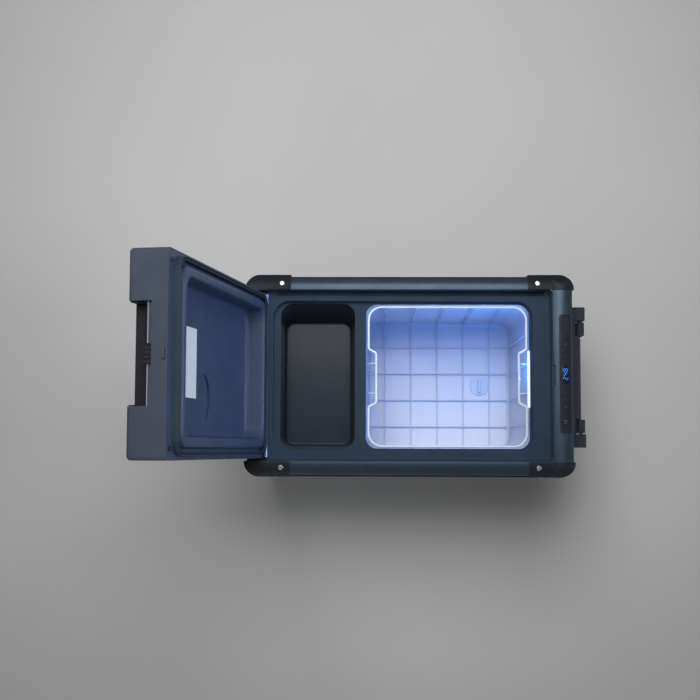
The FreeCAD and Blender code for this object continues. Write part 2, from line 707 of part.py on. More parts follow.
def refrigerant_lines():
    cx, cy = COMPRESSOR
    top = COMPRESSOR_TOP
    x, y = cx + 10, cy + 16
    suction = [(FOAM_BACK_X, LINE_Y, LINE_Z), (x, LINE_Y, LINE_Z), (x, y, LINE_Z), (x, y, top)]
    x, y = cx - 16, cy - 12
    side = FOAM_BACK_X - 10
    hot_end, middle = CONDENSER[1] - 6, sum(CONDENSER_Y) / 2
    hot_z = CONDENSER[3] - 12
    discharge = [(x, y, top), (x, y, 236.0), (side, y, 236.0), (side, middle, 236.0)]
    discharge += [(side, middle, hot_z), (hot_end, middle, hot_z)]
    x, y, low, high = DRIER
    cold_end, cold_z = CONDENSER[0] + 6, CONDENSER[2] + 12
    liquid = [(cold_end, middle, cold_z), (x, middle, cold_z), (x, middle, 40.0)]
    liquid += [(x, y, 40.0), (x, y, low)]
    capillary = [(x, y, high), (x, y, 250.0), (side - 10, y, 250.0), (side - 10, y, COIL_Z[0])]
    capillary.append((FOAM_BACK_X, y, COIL_Z[0]))
    return [
        tube(suction, COIL_R, 12.0),
        tube(discharge, 2.5, 8.0),
        tube(liquid, 2.0, 8.0),
        tube(capillary, 1.5, 10.0),
    ]


def controller_case():
    case = rounded_box(CASE, *CASE_Z, 4.0)
    return case.cut(rounded_box(grown(CASE, -2.5), CASE_Z[0] + 2.5, CASE_Z[1] - 2.5, 2.0))


def controller_board():
    x0, x1, y0, y1 = grown(CASE, -8.0)
    low = CASE_Z[0] + 8
    board = box(x0, x1, y0 + 2, y0 + 3.6, low, CASE_Z[1] - 8)
    chips = []
    for i in range(4):
        left = x0 + 8 + 24 * i
        chips.append(box(left, left + 14, y0 + 3.6, y0 + 13, low + 8, low + 26))
    capacitors = [cylinder(V(x0 + 16 + 28 * i, y0 + 3.6, low + 44), Y_AXIS, 6, 14) for i in range(3)]
    return fused([board] + chips + capacitors)


def power_socket():
    """Recessed two-pin inlet on the rear end, near the floor."""
    y0, y1 = SOCKET_Y
    z0, z1 = SOCKET_Z
    plate = box(-BODY_X - 3, -BODY_X, y0 - 7, y1 + 7, z0 - 6, z1 + 6)
    plate = fillet_at(plate, 4.0, lambda e: abs(e.BoundBox.XLength - 3.0) < 0.01)
    body = box(-BODY_X, -BODY_X + 24, y0, y1, z0, z1)
    pocket = box(-BODY_X - 5, -BODY_X + 16, y0 + 5, y1 - 5, z0 + 5, z1 - 5)
    middle = (z0 + z1) / 2
    pins = [cylinder(V(-BODY_X, y, middle), X_AXIS, 1.8, 20) for y in (y0 + 11, y1 - 11)]
    return fused([plate.fuse(body).cut(pocket)] + pins)


# ---------------------------------------------------------------- front rail
def key_limits(y):
    half_x, half_y = KEY_SIZE[0] / 2, KEY_SIZE[1] / 2
    return (KEY_X - half_x, KEY_X + half_x, y - half_y, y + half_y)


def control_panel():
    panel = rounded_box(PANEL, *PANEL_Z, 5.0).cut(front_dome(PANEL_Z[1]))
    holes = [rounded_box(grown(key_limits(y), 0.3), 440, 460, 3.3) for y in KEY_Y.values()]
    blank = rounded_box(BLANK, PANEL_Z[1] - 1.6, 460, 4.5)
    window = rounded_box(DISPLAY, PANEL_Z[1] - 2.4, 460, 2.0)
    return cut(panel, holes + [blank, window])


def display_window():
    glass = rounded_box(DISPLAY, PANEL_Z[1] - 2.4, PANEL_Z[1] - 0.1, 2.0)
    return glass.cut(front_dome(PANEL_Z[1] - 0.1))


def key(y):
    cap = rounded_box(key_limits(y), PANEL_Z[0] + 1.6, PANEL_Z[1] + 1.0, 3.0)
    return cap.cut(front_dome(PANEL_Z[1] + 0.3))


def striker_plate():
    """Steel channel pressed into the slot that takes the latch bolt."""
    x0, x1, y0, y1 = STRIKER_SLOT
    z0, z1 = STRIKER_Z
    channel = box(x0, x1, y0, y1, z0, z0 + 2)
    back = box(x1 - 1.6, x1, y0, y1, z0, z1)
    return fused([channel, back])


# ---------------------------------------------------------------- carrying handles
def front_bracket():
    px, pz = HANDLE_PIVOT
    parts = [box(BODY_X, BODY_X + 5, -EAR_Y[1], EAR_Y[1], 340.0, 396.0)]
    parts.append(box(BODY_X, BODY_X + 14, -EAR_Y[0], EAR_Y[0], *SHELF_Z))
    parts.append(box(BODY_X, SHELF_X, -ARM_Y[0] + 2, ARM_Y[0] - 2, *SHELF_Z))
    for side in (-1, 1):
        y0, y1 = sorted((side * EAR_Y[0], side * EAR_Y[1]))
        parts.append(box(BODY_X, px, y0, y1, pz - 16, pz + 14))
        nose = cylinder(V(px, y0, pz), Y_AXIS, 8.8, y1 - y0)
        parts.append(nose)
        parts.append(box(px - 6, px + 8.0, y0, y1, pz, pz + 13))
    bracket = fused(parts)
    return cut(bracket, handle_pin_solids(HANDLE_PIN_R))


def handle_pin_solids(radius):
    px, pz = HANDLE_PIVOT
    pins = []
    for side in (-1, 1):
        y0, y1 = sorted((side * (ARM_Y[0] + 5), side * (EAR_Y[1] - 3)))
        pins.append(cylinder(V(px, y0, pz), Y_AXIS, radius, y1 - y0))
    return pins


def front_bail():
    """Two arms joined by a flat bar, hanging from the pins."""
    px, pz = HANDLE_PIVOT
    parts = []
    for side in (-1, 1):
        y0, y1 = sorted((side * ARM_Y[0], side * ARM_Y[1]))
        parts.append(cylinder(V(px, y0, pz), Y_AXIS, 8.4, y1 - y0))
        leg = box(px - 7.5, px + 7.5, y0, y1, GRIP_Z[0], pz)
        leg = fillet_at(leg, 3.0, at_height(GRIP_Z[0]))
        parts.append(leg)
    parts.append(box(*BAR_X, -ARM_Y[0], ARM_Y[0], GRIP_Z[0] + 6, GRIP_Z[1] - 6))
    return cut(fused(parts), handle_pin_solids(HANDLE_PIN_R + 0.05))


def front_grip():
    sleeve = box(*GRIP_X, -ARM_Y[0] + 1, ARM_Y[0] - 1, *GRIP_Z)
    sleeve = fillet_at(sleeve, 4.0, lambda e: e.BoundBox.YLength > 100)
    return sleeve.cut(box(*BAR_X, -ARM_Y[0], ARM_Y[0], GRIP_Z[0] + 6, GRIP_Z[1] - 6))


# ---------------------------------------------------------------- basket
def basket_rim():
    """Thick wire loop with wide corners, stepped in for the fingers on both short sides."""
    x0, x1, y0, y1 = BASKET
    j0, j1, j2, j3 = JOG_Y
    front = [(x1, y0), (x1, j0), (x1 - JOG_IN, j1), (x1 - JOG_IN, j2), (x1, j3), (x1, y1)]
    back = [(x0, y1), (x0, j3), (x0 + JOG_IN, j2), (x0 + JOG_IN, j1), (x0, j0), (x0, y0)]
    bends = [BASKET_R, 5.0, 5.0, 5.0, 5.0, BASKET_R]
    return tube([(x, y, RIM_Z) for x, y in front + back], RIM_WIRE_R, bends * 2, closed=True)


def basket_cross_wires():
    """Wires that run across the floor and up both long sides to the rim."""
    y0, y1 = BASKET[2:]
    rim = basket_rim()
    wires = []
    for x in CROSS_WIRE_X:
        points = [(x, y0, RIM_Z), (x, y0, BASKET_FLOOR_Z), (x, y1, BASKET_FLOOR_Z), (x, y1, RIM_Z)]
        wires.append(tube(points, WIRE_R, 18.0).cut(rim))
    return wires


def basket_long_wires():
    """Wires that lie on the cross wires and go up both short sides to the rim."""
    x0, x1 = BASKET[:2]
    level = BASKET_FLOOR_Z + 2 * WIRE_R - WELD
    rim = basket_rim()
    wires = []
    for y in LONG_WIRE_Y:
        points = [(x0, y, RIM_Z), (x0, y, level), (x1, y, level), (x1, y, RIM_Z)]
        bend = 16.0
        if JOG_Y[1] < y < JOG_Y[2]:
            points = [(x0 + JOG_IN, y, RIM_Z)] + points + [(x1 - JOG_IN, y, RIM_Z)]
            bend = [0, 6.0, 16.0, 16.0, 6.0, 0]
        wires.append(tube(points, WIRE_R, bend).cut(rim))
    return wires


def basket_lower_ring():
    """Hoop inside the uprights, a little above the floor."""
    ring = grown(BASKET, WELD - 2 * WIRE_R)
    x0, x1, y0, y1 = ring
    z = BASKET_FLOOR_Z + 24.0
    points = [(x0, y0, z), (x1, y0, z), (x1, y1, z), (x0, y1, z)]
    return tube(points, WIRE_R, 22.0, closed=True)


# ---------------------------------------------------------------- lid, drawn closed
def lid_block():
    block = rounded_box((*LID_X, -LID_Y, LID_Y), *LID_Z, 7.0)
    return fillet_at(block, 6.0, at_height(LID_Z[1]))


def lid_cover():
    """Hollow cover with the grip notch let into its free end."""
    x0, x1 = LID_X
    z0, z1 = LID_Z
    t = LID_WALL
    inside = rounded_box((x0 + t, x1 - t, -LID_Y + t, LID_Y - t), z0 - 1, z1 - t, 4.0)
    well = box(NOTCH_X - t, x1, -NOTCH_Y - t, NOTCH_Y + t, NOTCH_LEDGE_Z - t, z1)
    cover = lid_block().cut(inside.cut(well))
    notch = box(NOTCH_X, x1 + 5, -NOTCH_Y, NOTCH_Y, NOTCH_Z, z1 + 5)
    step = box(LEDGE_X, x1 + 5, -NOTCH_Y, NOTCH_Y, NOTCH_LEDGE_Z, z1)
    pad_back = LATCH_PAD_X[0] - LATCH_TRAVEL
    riser_slot = box(pad_back - 0.6, LATCH_PAD_X[0] + 6.6, -BOLT_Y - 0.5, BOLT_Y + 0.5, 450, NOTCH_Z)
    bolt_slot = box(x1 - 10, x1 + 5, -BOLT_Y - 0.25, BOLT_Y + 0.25, BOLT[2] - 0.25, BOLT[3] + 0.25)
    return cut(cover, [notch, step, pad_space(), riser_slot, bolt_slot])


def pad_space():
    """Room that the thumb pad needs over its whole travel."""
    back = LATCH_PAD_X[0] - LATCH_TRAVEL - 1.0
    return box(back, LID_X[1] + 5, -PAD_Y - 0.5, PAD_Y + 0.5, NOTCH_LEDGE_Z, LID_Z[1])


def lid_grip_liner():
    """Thin cup that lines the grip notch, and two trim strips on the step before it."""
    t = GRIP_LINER_T
    cup = box(NOTCH_X, LEDGE_X - 0.3, -NOTCH_Y, NOTCH_Y, NOTCH_Z, LID_Z[1] - 1.0)
    hollow = box(NOTCH_X + t, WIDE, -NOTCH_Y + t, NOTCH_Y - t, NOTCH_Z + t, WIDE)
    cup = cut(cup, [hollow, pad_space()])
    strips = [
        box(LEDGE_X, LEDGE_X + TRIM[0], -NOTCH_Y, NOTCH_Y, z, z + TRIM[1]).cut(pad_space())
        for z in (NOTCH_LEDGE_Z, NOTCH_Z - TRIM[1])
    ]
    return Part.makeCompound([cup] + strips)


def tapered_up(limits, z0, z1, by, radius):
    """Block over a rounded rectangle that narrows towards its top."""
    wires = [rounded_wire(limits, z0, radius), rounded_wire(grown(limits, -by), z1, radius * 0.9)]
    return Part.makeLoft(wires, True, True)


def lid_pan():
    """Outside of the lid's recess, as it stands up into the foam."""
    ceiling = LID_RECESS_Z + LID_WALL
    return tapered_up(grown(LID_RECESS, LID_WALL), LID_FRAME_Z, ceiling, 3.0, LID_RECESS_R + LID_WALL)


def lid_dimple():
    """Crescent between two arcs, let into the recess panel."""
    x, y, radius = DIMPLE_OUTER
    outer = cylinder(V(x, y, LID_RECESS_Z - 1), Z_AXIS, radius, DIMPLE_DEPTH + 1)
    x, y, radius = DIMPLE_INNER
    return outer.cut(cylinder(V(x, y, 0), Z_AXIS, radius, WIDE))


def dimple_boss():
    """Thickening of the panel behind the dimple."""
    x, y, radius = DIMPLE_OUTER
    return cylinder(V(x, y, LID_RECESS_Z + 1), Z_AXIS, radius + LID_WALL, DIMPLE_DEPTH + LID_WALL)


def lid_inner_liner():
    """Flange plate, raised frame, deep recess and the rib that turns on the pins."""
    x0, x1 = LID_X
    t = LID_WALL
    z0 = LID_Z[0]
    plate = rounded_box((x0 + t, x1 - t, -LID_Y + t, LID_Y - t), z0, z0 + t, 4.0)
    frame = rounded_box(LID_FRAME, LID_FRAME_Z, z0 + t, LID_FRAME_R)
    frame = fillet_at(frame, 8.0, at_height(LID_FRAME_Z))
    rib = cylinder(V(HINGE.x, -136.0, HINGE.z), Y_AXIS, RIB_R, 272.0)
    web = box(HINGE.x - 2.5, HINGE.x + 3.0, -136.0, 136.0, HINGE.z, z0)
    post = box(*SPRING_POST_X, -7.0, 7.0, z0 + t, z0 + 12)
    liner = fused([plate, frame, lid_pan(), dimple_boss(), rib, web, post])
    hollow = tapered_up(LID_RECESS, LID_FRAME_Z - 1, LID_RECESS_Z, 3.0, LID_RECESS_R)
    hollow = fillet_at(hollow, 9.0, at_height(LID_RECESS_Z))
    liner = liner.cut(hollow)
    liner = fillet_at(liner, 4.5, at_height(LID_FRAME_Z, grown(LID_RECESS, 2.0)))
    pin_bores = []
    for side in (-1, 1):
        start = V(HINGE.x, side * 115.5, HINGE.z)
        pin_bores.append(cylinder(start, Y_AXIS * side, PIN_R + 0.05, 30))
    holes = [cylinder(V(x, y, z0 - 1), Z_AXIS, 1.6, 10) for x, y in lid_screw_places()]
    return cut(liner, pin_bores + holes + [lid_dimple()])


def lid_gasket():
    """Square ring outside the raised frame, with a groove between its two lips."""

    def ring(limits, width, z0, z1, radius):
        outer = rounded_box(limits, z0, z1, radius)
        return outer.cut(rounded_box(grown(limits, -width), z0 - 1, z1 + 1, radius - width))

    seal = ring(SEAL, SEAL_WIDTH, SEAL_BOTTOM, LID_Z[0], SEAL_R)
    lip = (SEAL_WIDTH - 1.6) / 2
    groove = ring(grown(SEAL, -lip), 1.6, SEAL_BOTTOM - 1, SEAL_BOTTOM + 5, SEAL_R - lip)
    return fillet_at(seal.cut(groove), 1.0, at_height(SEAL_BOTTOM))


def lid_screw_places():
    return [(263.6, -144.0), (263.6, 144.0)]


def lid_screws():
    screws = []
    for x, y in lid_screw_places():
        head = cylinder(V(x, y, LID_Z[0] - 2.0), Z_AXIS, 3.8, 2.0)
        head = fillet_at(head, 1.2, at_height(LID_Z[0] - 2.0))
        shank = cylinder(V(x, y, LID_Z[0] - 0.5), Z_AXIS, 1.6, 9.0)
        screws.append(fused([head, shank]))
    return screws


def lid_foam():
    x0, x1 = LID_X
    t = LID_WALL
    block = rounded_box((x0 + t, NOTCH_X - t, -LID_Y + t, LID_Y - t), LID_Z[0] + t, LID_Z[1] - t, 4.0)
    channel = box(214.0, WIDE, -22.0, 22.0, LID_Z[0], 456.0)
    return cut(block, [lid_pan(), dimple_boss(), channel])


def lid_label():
    return box(*LABEL, LID_RECESS_Z - 0.4, LID_RECESS_Z)


def lid_latch():
    """Sliding bolt with a riser to a ribbed thumb pad in the grip notch."""
    x0, x1, z0, z1 = BOLT
    bolt = box(x0, x1, -BOLT_Y, BOLT_Y, z0, z1)
    riser = box(LATCH_PAD_X[0], LATCH_PAD_X[0] + 6, -BOLT_Y, BOLT_Y, z1 - 1, NOTCH_LEDGE_Z + 2)
    pad = box(*LATCH_PAD_X, -PAD_Y, PAD_Y, NOTCH_LEDGE_Z + 0.4, 474.0)
    ribs = [box(*LATCH_PAD_X, y, y + 3.2, 474.0, 476.4) for y in PAD_RIB_Y]
    front = LATCH_PAD_X[1]
    grooves = [box(front - 2.5, front + 1, y + 3.2, y + 6.6, 460, 480) for y in PAD_RIB_Y]
    return cut(fused([bolt, riser, pad] + ribs), grooves)


def latch_spring():
    """Compression spring between the liner's post and the back of the bolt."""
    length = BOLT[0] - SPRING_POST_X[1] - 1.0
    helix = Part.makeHelix(length / 5, length, SPRING_R)
    section = Part.Wire(Part.makeCircle(SPRING_WIRE_R, V(SPRING_R, 0, 0), Y_AXIS))
    spring = Part.Wire(helix.Edges).makePipeShell([section], True, True)
    spring.rotate(V(0, 0, 0), Y_AXIS, 90)
    spring.translate(V(SPRING_POST_X[1] + 0.5, 0, SPRING_Z))
    return spring


# ---------------------------------------------------------------- lid hinges
def hinge_knuckles():
    knuckles = []
    for side, lug in zip((-1, 1), knuckle_lugs()):
        y0, y1 = sorted((side * KNUCKLE_Y[0], side * KNUCKLE_Y[1]))
        barrel = cylinder(V(HINGE.x, y0, HINGE.z), Y_AXIS, KNUCKLE_R, y1 - y0)
        bore = cylinder(V(HINGE.x, y0 - 1, HINGE.z), Y_AXIS, PIN_R, y1 - y0 + 2)
        knuckles.append(fused([barrel, lug]).cut(bore))
    return knuckles


def hinge_pins():
    return [
        cylinder(V(HINGE.x, side * 116.5, HINGE.z), Y_AXIS * side, PIN_R, KNUCKLE_Y[1] - 116.5)
        for side in (-1, 1)
    ]


# ---------------------------------------------------------------- every node
def build():
    os.makedirs("parts", exist_ok=True)
    casing = {
        "outer_shell": outer_shell(),
        "vent_grilles": vent_grilles(),
        "base_pan": base_pan(),
        "rubber_feet": rubber_feet(),
        "foot_inserts": foot_inserts(),
        "top_frame": top_frame(),
        "deck_moulding": deck_moulding(),
        "upper_tray": upper_tray(),
        "inner_liner": inner_liner(),
        "foam_insulation": foam_insulation(),
        "top_corner_protectors": top_corner_protectors(),
        "bottom_corner_protectors": bottom_corner_protectors(),
        "protector_screws": protector_screws(),
        "drain_tube": drain_tube(),
        "drain_plug": drain_plug(),
        "led_lens": led_lens(),
        "led_housing": led_housing(),
        "basket_rim": basket_rim(),
        "basket_cross_wires": basket_cross_wires(),
        "basket_long_wires": basket_long_wires(),
        "basket_lower_ring": basket_lower_ring(),
    }
    machinery = {
        "evaporator_coil": evaporator_coil(),
        "compressor": compressor(),
        "compressor_grommets": compressor_grommets(),
        "condenser": condenser(),
        "fan_frame": fan_frame(),
        "fan_rotor": fan_rotor(),
        "filter_drier": filter_drier(),
        "refrigerant_lines": refrigerant_lines(),
        "controller_case": controller_case(),
        "controller_board": controller_board(),
        "power_socket": power_socket(),
    }
    front = {
        "control_panel": control_panel(),
        "display_window": display_window(),
        "striker_plate": striker_plate(),
    }
    for name, y in KEY_Y.items():
        front["key_" + name] = key(y)
    handles = {}
    for part, shape in (
        ("bracket", front_bracket()),
        ("bail", front_bail()),
        ("grip", front_grip()),
        ("pins", Part.makeCompound(handle_pin_solids(HANDLE_PIN_R))),
    ):
        handles["front_handle_" + part] = shape
        handles["rear_handle_" + part] = mirrored_x(shape)
    lid = {
        "lid_cover": lid_cover(),
        "lid_grip_liner": lid_grip_liner(),
        "lid_inner_liner": lid_inner_liner(),
        "lid_foam": lid_foam(),
        "lid_gasket": lid_gasket(),
        "lid_label": lid_label(),
        "lid_latch": lid_latch(),
        "latch_spring": latch_spring(),
        "lid_screws": Part.makeCompound(lid_screws()),
    }
    hinges = {"hinge_knuckles": hinge_knuckles(), "hinge_pins": hinge_pins()}
    for name, shape in {**casing, **machinery, **front, **handles, **hinges}.items():
        export(name, shape)
    for name, shape in lid.items():
        export(name, opened(shape))


build()
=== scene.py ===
import math

import bpy
from mathutils import Matrix, Vector


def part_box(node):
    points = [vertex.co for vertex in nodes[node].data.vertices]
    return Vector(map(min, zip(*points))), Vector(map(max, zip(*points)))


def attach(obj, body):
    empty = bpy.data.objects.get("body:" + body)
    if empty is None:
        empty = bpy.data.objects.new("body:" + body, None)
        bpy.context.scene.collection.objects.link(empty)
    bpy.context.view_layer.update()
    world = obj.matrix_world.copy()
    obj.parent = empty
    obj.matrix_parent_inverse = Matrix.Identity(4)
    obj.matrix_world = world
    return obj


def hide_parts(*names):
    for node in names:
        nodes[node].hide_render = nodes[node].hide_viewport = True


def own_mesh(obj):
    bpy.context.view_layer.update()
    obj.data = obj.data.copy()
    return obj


# Looks of the compressor cooler fridge. Metres, in the row frame of the CAD model.

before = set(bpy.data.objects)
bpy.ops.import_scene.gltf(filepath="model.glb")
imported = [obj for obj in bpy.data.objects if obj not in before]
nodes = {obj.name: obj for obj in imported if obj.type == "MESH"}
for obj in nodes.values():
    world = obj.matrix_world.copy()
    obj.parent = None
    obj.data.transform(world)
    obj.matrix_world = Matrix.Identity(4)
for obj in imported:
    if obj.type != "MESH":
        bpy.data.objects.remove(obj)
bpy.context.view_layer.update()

# ---------------------------------------------------------------- camera and light numbers
CAMERA_PLACE = Vector((-0.0676, -0.1438, 2.7657))
CAMERA_TURN = Vector((0.0830, 0.0206, 0.0027))  # turn vector in radians, from looking straight down
CAMERA_LENS = 61.25
SENSOR_WIDTH = 36.0

FLOOR_SIZE = 12.0
KEY_PLACE = Vector((-0.20, 1.05, 2.8))
KEY_AIM = Vector((-0.05, 0.50, 0.0))
KEY_SIZE = (1.4, 1.75)
KEY_SPREAD = math.radians(90.0)
KEY_POWER = 20.5
TOP_PLACE = Vector((0.0, 0.68, 2.8))  # seen only in reflections
TOP_AIM = Vector((0.0, 0.68, 0.0))
TOP_SIZE = (1.2, 0.80)
TOP_POWER = 15.5
SIDE_PLACE = Vector((1.9, -0.10, 1.25))
SIDE_AIM = Vector((-0.35, 0.0, 0.72))
SIDE_SIZE = (0.9, 0.7)
SIDE_SPREAD = math.radians(38.0)
SIDE_COLOUR = (0.80, 0.90, 1.0)
SIDE_POWER = 1.5
FILL_PLACE = Vector((-0.5, -2.3, 1.1))
FILL_AIM = Vector((-0.1, 0.0, 0.45))
FILL_SIZE = (1.6, 1.0)
FILL_SPREAD = math.radians(60.0)
FILL_POWER = 1.7
AMBIENT = 0.115
LED_COLOUR = (0.03, 0.24, 1.0)
LED_AIM = Vector((-0.11, 0.08, -0.04))  # from the light's own place
LED_POWER = 1.05
LED_SIZE = (0.11, 0.008)
LED_GAP = 0.004  # from the lens to the light in front of it

# ---------------------------------------------------------------- colours (linear)
SLATE = (0.047, 0.070, 0.099)
LID_BLUE = (0.044, 0.064, 0.120)
DECK_SLATE = (0.024, 0.040, 0.064)
BLACK = (0.011, 0.014, 0.019)
LINER_WHITE = (0.63, 0.67, 0.72)
# painted shade: the next colour is the dark band painted on the liner just under its mouth, where
# the gap below the deck's edge lies in shade
SHADE_BAND_BLUE = (0.010, 0.018, 0.060, 1.0)
WIRE_WHITE = (0.66, 0.78, 0.94)
# the next grey is a darker copy of the wire coat above, painted shade on the cross, long and lower
# wires; the rim keeps the lighter coat
WIRE_SHADED_GREY = (0.52, 0.61, 0.74)
WORN_SLATE = (0.12, 0.15, 0.19)
# the deck's edge colour is wear and also a painted highlight: light lines along the recess edges
WORN_AND_HIGHLIT_DECK = (0.16, 0.19, 0.26)
WORN_LID = (0.08, 0.12, 0.22)
WORN_BLACK = (0.09, 0.095, 0.10)
WORN_TRAY = (0.09, 0.10, 0.11)
DUST = (0.45, 0.45, 0.43, 1.0)

# ---------------------------------------------------------------- surface scales
SMEAR_SIZE = 0.11  # patches of uneven gloss
WAVE_SIZE = 0.07  # slow waviness of moulded walls
WAVE_DEPTH = 0.0006
WAVE_STRENGTH = 0.35
GRAIN_STRENGTH = 0.6
EDGE_WEAR_AND_HIGHLIGHT = 0.55  # how much of the edge colour shows along a sharp edge; it shows wear, and on the deck a painted highlight too

# ---------------------------------------------------------------- where two colours meet, and where painted shade and painted highlights begin
BOLT_FROM_X = -0.393  # the open lid's bolt lies in front of this plane, its thumb pad behind
SHADE_BAND_FROM_Z = 0.3965  # the liner's painted shade band begins at this height
HIGHLIGHT_STRIPS_FROM_Z = 0.96895  # the open lid's cup ends below this height, its painted highlight strips lie above
SHADE_BAND_BLEND = 0.0008
BOLT_BLEND = 0.001
HIGHLIGHT_STRIPS_BLEND = 0.00005

# ---------------------------------------------------------------- marks on the panel
READING = "248"  # a plain number on the display
DIGIT_HEIGHT = 0.0088
DIGIT_WIDTH = 0.0046
DIGIT_PITCH = 0.0082
SEGMENT_R = 0.00062
SEGMENT_GAP = 1.5  # radii left free at each end of a segment
MARK_R = 0.00022
MARK_SUNK = 0.5  # a stroke's middle lies this many radii below the surface
ABOVE_ALL = 1.0  # a height above the panel, where its surface is looked for from
SEGMENTS = {
    "a": ((0, 2), (1, 2)),
    "b": ((1, 2), (1, 1)),
    "c": ((1, 1), (1, 0)),
    "d": ((0, 0), (1, 0)),
    "e": ((0, 1), (0, 0)),
    "f": ((0, 2), (0, 1)),
    "g": ((0, 1), (1, 1)),
}
LIT = {"2": "abged", "4": "fgbc", "8": "abcdefg"}


# ---------------------------------------------------------------- node helpers
MIX_FIRST, MIX_SECOND, MIX_RESULT = 6, 7, 2  # colour sockets of the Mix node


class Graph:
    """A material's node tree with short ways to add and join nodes."""

    def __init__(self, name):
        self.material = bpy.data.materials.new(name)
        self.material.use_nodes = True
        self.tree = self.material.node_tree
        self.bsdf = self.tree.nodes["Principled BSDF"]
        place = self.add("ShaderNodeTexCoord")
        self.place = place.outputs["Object"]

    def add(self, kind, inputs=None, **settings):
        node = self.tree.nodes.new(kind)
        for key, value in settings.items():
            setattr(node, key, value)
        for key, value in (inputs or {}).items():
            self.feed(node.inputs[key], value)
        return node

    def feed(self, socket, value):
        """Links another node's output to the socket, or sets a plain value on it."""
        if isinstance(value, bpy.types.NodeSocket):
            self.tree.links.new(value, socket)
        else:
            socket.default_value = value

    def stretched(self, scale):
        """Object coordinates scaled unevenly, for lines that run along an axis."""
        node = self.add("ShaderNodeMapping", {"Vector": self.place, "Scale": scale})
        return node.outputs["Vector"]

    def noise(self, size, detail=2.0, rough=0.5, place=None, distortion=0.0):
        """Noise whose features are about size metres across, from 0 to 1."""
        node = self.add(
            "ShaderNodeTexNoise",
            {
                "Vector": place or self.place,
                "Scale": 1.0 / size,
                "Detail": detail,
                "Roughness": rough,
                "Distortion": distortion,
            },
        )
        return node.outputs["Fac"]

    def spread(self, value, low, high, to_low=0.0, to_high=1.0):
        """Stretches the range from low to high to the range from to_low to to_high."""
        node = self.add(
            "ShaderNodeMapRange",
            {
                "Value": value,
                "From Min": low,
                "From Max": high,
                "To Min": to_low,
                "To Max": to_high,
            },
        )
        return node.outputs["Result"]

    def maths(self, operation, first, second=0.0):
        node = self.add("ShaderNodeMath", {0: first, 1: second}, operation=operation)
        return node.outputs["Value"]

    def mixed(self, factor, first, second):
        """Colour that goes from first to second as the factor goes from 0 to 1."""
        node = self.add("ShaderNodeMix", data_type="RGBA")
        self.feed(node.inputs["Factor"], factor)
        self.feed(node.inputs[MIX_FIRST], first)
        self.feed(node.inputs[MIX_SECOND], second)
        return node.outputs[MIX_RESULT]

    def edges(self, radius, low=0.03, high=0.22):
        """1 along sharp edges, 0 on flat faces."""
        rounded = self.add("ShaderNodeBevel", {"Radius": radius}, samples=4)
        flat = self.add("ShaderNodeNewGeometry")
        dot = self.add("ShaderNodeVectorMath", operation="DOT_PRODUCT")
        self.feed(dot.inputs[0], rounded.outputs["Normal"])
        self.feed(dot.inputs[1], flat.outputs["Normal"])
        return self.spread(self.maths("SUBTRACT", 1.0, dot.outputs["Value"]), low, high)

    def bump(self, height, depth, strength=1.0, normal=None):
        """Normal for relief that is depth metres deep, on top of another normal if given."""
        inputs = {"Height": height, "Distance": depth, "Strength": strength}
        if normal is not None:
            inputs["Normal"] = normal
        return self.add("ShaderNodeBump", inputs).outputs["Normal"]


def rgba(colour, gain=1.0):
    """Colour brightened by gain, with full opacity."""
    return tuple(min(1.0, channel * gain) for channel in colour) + (1.0,)


def moulded(
    name,
    colour,
    roughness,
    metallic=0.0,
    grain=0.0007,
    grain_depth=0.00012,
    mottle=0.10,
    mottle_size=0.05,
    gloss_spread=0.10,
    wear_and_highlight=None,
    wear_and_highlight_radius=0.0009,
    dust=0.0,
    coat=0.0,
    specular=0.5,
):
    """Moulded or coated surface: cloudy colour, uneven gloss, fine grain, and lighter edges that
    show wear and, where the edge colour is set for it, a painted highlight.
    """
    graph = Graph(name)
    bsdf = graph.bsdf
    bsdf.inputs["Metallic"].default_value = metallic
    bsdf.inputs["Coat Weight"].default_value = coat
    bsdf.inputs["Specular IOR Level"].default_value = specular
    cloud = graph.noise(mottle_size, 4.0, 0.6)
    fine = graph.noise(grain, 2.0, 0.6)
    smear = graph.noise(SMEAR_SIZE, 5.0, 0.65, distortion=0.4)
    tint = graph.mixed(
        graph.spread(cloud, 0.3, 0.7), rgba(colour, 1 - mottle), rgba(colour, 1 + mottle)
    )
    tint = graph.mixed(graph.spread(fine, 0.35, 0.75, 0.0, mottle), tint, rgba(colour, 1.6))
    if dust:
        specks = graph.noise(0.0016, 3.0, 0.7)
        patchy = graph.maths("MULTIPLY", graph.spread(specks, 0.62, 0.72), smear)
        tint = graph.mixed(graph.maths("MULTIPLY", patchy, dust), tint, DUST)
    rough = graph.spread(smear, 0.25, 0.75, roughness - gloss_spread, roughness + gloss_spread)
    if wear_and_highlight is not None:
        broken = graph.spread(graph.noise(0.006, 3.0, 0.7), 0.40, 0.62)
        edge = graph.maths("MULTIPLY", graph.edges(wear_and_highlight_radius), broken)
        tint = graph.mixed(graph.maths("MULTIPLY", edge, EDGE_WEAR_AND_HIGHLIGHT), tint, rgba(wear_and_highlight))
    graph.feed(bsdf.inputs["Base Color"], tint)
    graph.feed(bsdf.inputs["Roughness"], rough)
    wave = graph.bump(graph.noise(WAVE_SIZE, 1.0), WAVE_DEPTH, WAVE_STRENGTH)
    graph.feed(bsdf.inputs["Normal"], graph.bump(fine, grain_depth, GRAIN_STRENGTH, wave))
    return graph.material


